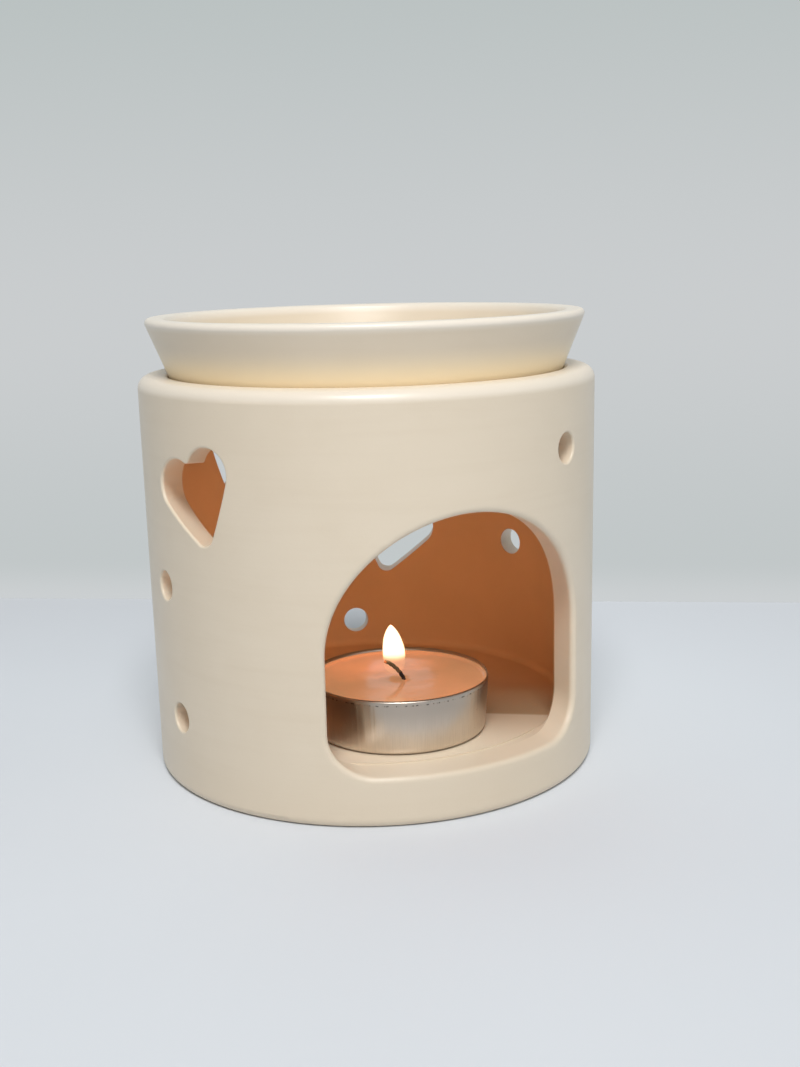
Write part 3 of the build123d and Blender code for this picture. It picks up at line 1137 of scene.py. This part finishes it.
def light_flame(name, kind, power, ahead):
    """One warm light high in the flame, which moves with the tea light."""
    lamp = bpy.data.lights.new(name, kind)
    lamp.energy = power
    lamp.color = flame_light_color
    if kind == "AREA":
        lamp.shape = "DISK"
        lamp.size = flame_light_size
    else:
        lamp.shadow_soft_size = flame_light_size / 2
    light = placed(name, lamp)
    light.location = flame_root() + upward(flame_height * flame_light_share)
    light.rotation_euler = ahead.to_track_quat("-Z", "Y").to_euler()
    light.visible_glossy = False
    light.visible_camera = False
    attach(light, "tealight")


def make_flame_lights():
    """The light that the flame throws: most of it on the inside wall behind it."""
    tilt = math.radians(flame_back_tilt)
    behind = outward(flame_back_bearing) * math.cos(tilt) + upward(math.sin(tilt))
    light_flame("flame_light", "POINT", flame_front_power, upward(-1))
    light_flame("flame_back_light", "AREA", flame_back_power, behind)


def refinish(node, material):
    """Gives a CAD node its finish."""
    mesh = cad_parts[node].data
    mesh.materials.clear()
    mesh.materials.append(material)


# The room

def make_camera():
    """The photograph's camera."""
    heading = math.radians(camera_round + camera_pan)
    dip = math.radians(camera_dip)
    level = Vector((math.sin(heading), math.cos(heading), 0))
    ahead = level * math.cos(dip) - upward(math.sin(dip))
    level_right = Vector((math.cos(heading), -math.sin(heading), 0))
    level_up = level_right.cross(ahead)
    roll = math.radians(camera_roll)
    right = level_right * math.cos(roll) + level_up * math.sin(roll)
    up = level_up * math.cos(roll) - level_right * math.sin(roll)
    stand = outward(-camera_round) * camera_distance + upward(camera_height)
    turn = Matrix((right, up, -ahead)).transposed().to_4x4()
    lens = bpy.data.cameras.new("camera")
    lens.lens = camera_lens
    lens.sensor_width = sensor_long_side
    lens.clip_start = camera_clip_start
    camera = placed("camera", lens)
    camera.matrix_world = Matrix.Translation(stand) @ turn
    bpy.context.scene.camera = camera


def flat_sheet(name, corners, material):
    """A flat four-cornered sheet that isn't part of the object."""
    mesh = bpy.data.meshes.new(name)
    mesh.from_pydata(corners, [], [(0, 1, 2, 3)])
    mesh.materials.append(material)
    sheet = placed(name, mesh)


def make_table_finish():
    """A pale matt table top, with painted shade that darkens it far from the pot."""
    material, tree, shader, _ = new_material("table_top")
    place = place_on(tree)
    clouds = ramp_between(tree, noise_of(tree, place, table_cloud_scale), *table_cloud_range)
    tone = mixed(tree, clouds, table_color, shaded(table_color, table_cloud_shade))
    x, y, _ = split(tree, place)
    # Painted shade, darker far from the pot.
    far = ramp_between(tree, from_axis(tree, x, y), table_shade_from, table_shade_to)
    far_shaded = mixed(tree, far, tone, table_far_shade_color)
    wire(tree, shader, {"Base Color": far_shaded, "Roughness": table_roughness})
    return material


def make_backdrop_finish():
    """Pale paper of an even light of its own, in bands up its height, and clear from behind."""
    material, tree, _, output = new_material("backdrop_paper")
    z = split(tree, place_on(tree))[2]
    foot = ramp_between(tree, z, 0.0, backdrop_foot_height)
    tone = mixed(tree, foot, backdrop_foot_color, backdrop_low_color)
    middle = ramp_between(tree, z, backdrop_foot_height, backdrop_mid_height)
    tone = mixed(tree, middle, tone, backdrop_mid_color)
    upper = ramp_between(tree, z, backdrop_mid_height, backdrop_high_height)
    tone = mixed(tree, upper, tone, backdrop_high_color)
    glow = put(tree, "ShaderNodeEmission", {"Color": tone}).outputs[0]
    behind = put(tree, "ShaderNodeNewGeometry").outputs["Backfacing"]
    clear = put(tree, "ShaderNodeBsdfTransparent").outputs[0]
    shown = put(tree, "ShaderNodeMixShader", {0: behind, 1: glow, 2: clear}).outputs[0]
    wire(tree, output, {"Surface": shown})
    return material


def hang_lamp(name, place, size, power):
    """A square lamp that faces the middle of the pot."""
    lamp = bpy.data.lights.new(name, "AREA")
    lamp.shape = "SQUARE"
    lamp.size = size
    lamp.energy = power
    lamp.color = lamp_color
    hung = placed(name, lamp)
    hung.location = place
    aim = upward(pot_high.z / 2) - place
    hung.rotation_euler = aim.to_track_quat("-Z", "Y").to_euler()


def make_world():
    """The room's own light, and the paler walls that the camera and reflections show."""
    world = bpy.data.worlds.new("room")
    world.use_nodes = True
    tree = world.node_tree
    light = tree.nodes["Background"]
    wire(tree, light.inputs, {"Color": (*room_color, 1), "Strength": room_strength})
    walls = put(tree, "ShaderNodeBackground", {"Color": (*room_seen_color, 1), "Strength": 1.0})
    ray = put(tree, "ShaderNodeLightPath").outputs
    seen = calc(tree, "MAXIMUM", ray["Is Camera Ray"], ray["Is Glossy Ray"])
    seen = calc(tree, "MAXIMUM", seen, ray["Is Transmission Ray"])
    both = put(tree, "ShaderNodeMixShader", {0: seen, 1: light.outputs[0], 2: walls.outputs[0]})
    wire(tree, tree.nodes["World Output"].inputs, {"Surface": both.outputs[0]})
    bpy.context.scene.world = world


def make_room():
    """The table, the backdrop, the lamps and the light of the room."""
    half = table_size / 2
    corners = [(-half, -half, 0), (half, -half, 0), (half, half, 0), (-half, half, 0)]
    flat_sheet("table", corners, make_table_finish())
    turn = math.radians(backdrop_turn)
    along = Vector((math.cos(turn), math.sin(turn), 0)) * half
    back = Vector((-math.sin(turn), math.cos(turn), 0)) * backdrop_distance
    top = upward(backdrop_height)
    left, right = back - along, back + along
    flat_sheet("backdrop", [left, right, right + top, left + top], make_backdrop_finish())
    front = outward(softbox_round - camera_round) * softbox_distance + upward(softbox_height)
    hang_lamp("softbox", front, softbox_size, softbox_power)
    rise = math.radians(lamp_rise)
    over = (outward(lamp_round) * math.cos(rise) + upward(math.sin(rise))) * lamp_distance
    hang_lamp("overhead_lamp", over, lamp_size, lamp_power)
    make_world()
    bpy.context.scene.view_settings.view_transform = "Standard"


make_camera()
make_room()
refinish("burner_body", make_pot_glaze())
refinish("oil_dish", make_dish_glaze())
refinish("wick_sustainer", make_sustainer_metal())
turning_tree = make_turning_tree()
make_cup()
make_wax()
make_wick()
make_flame()
make_flame_lights()
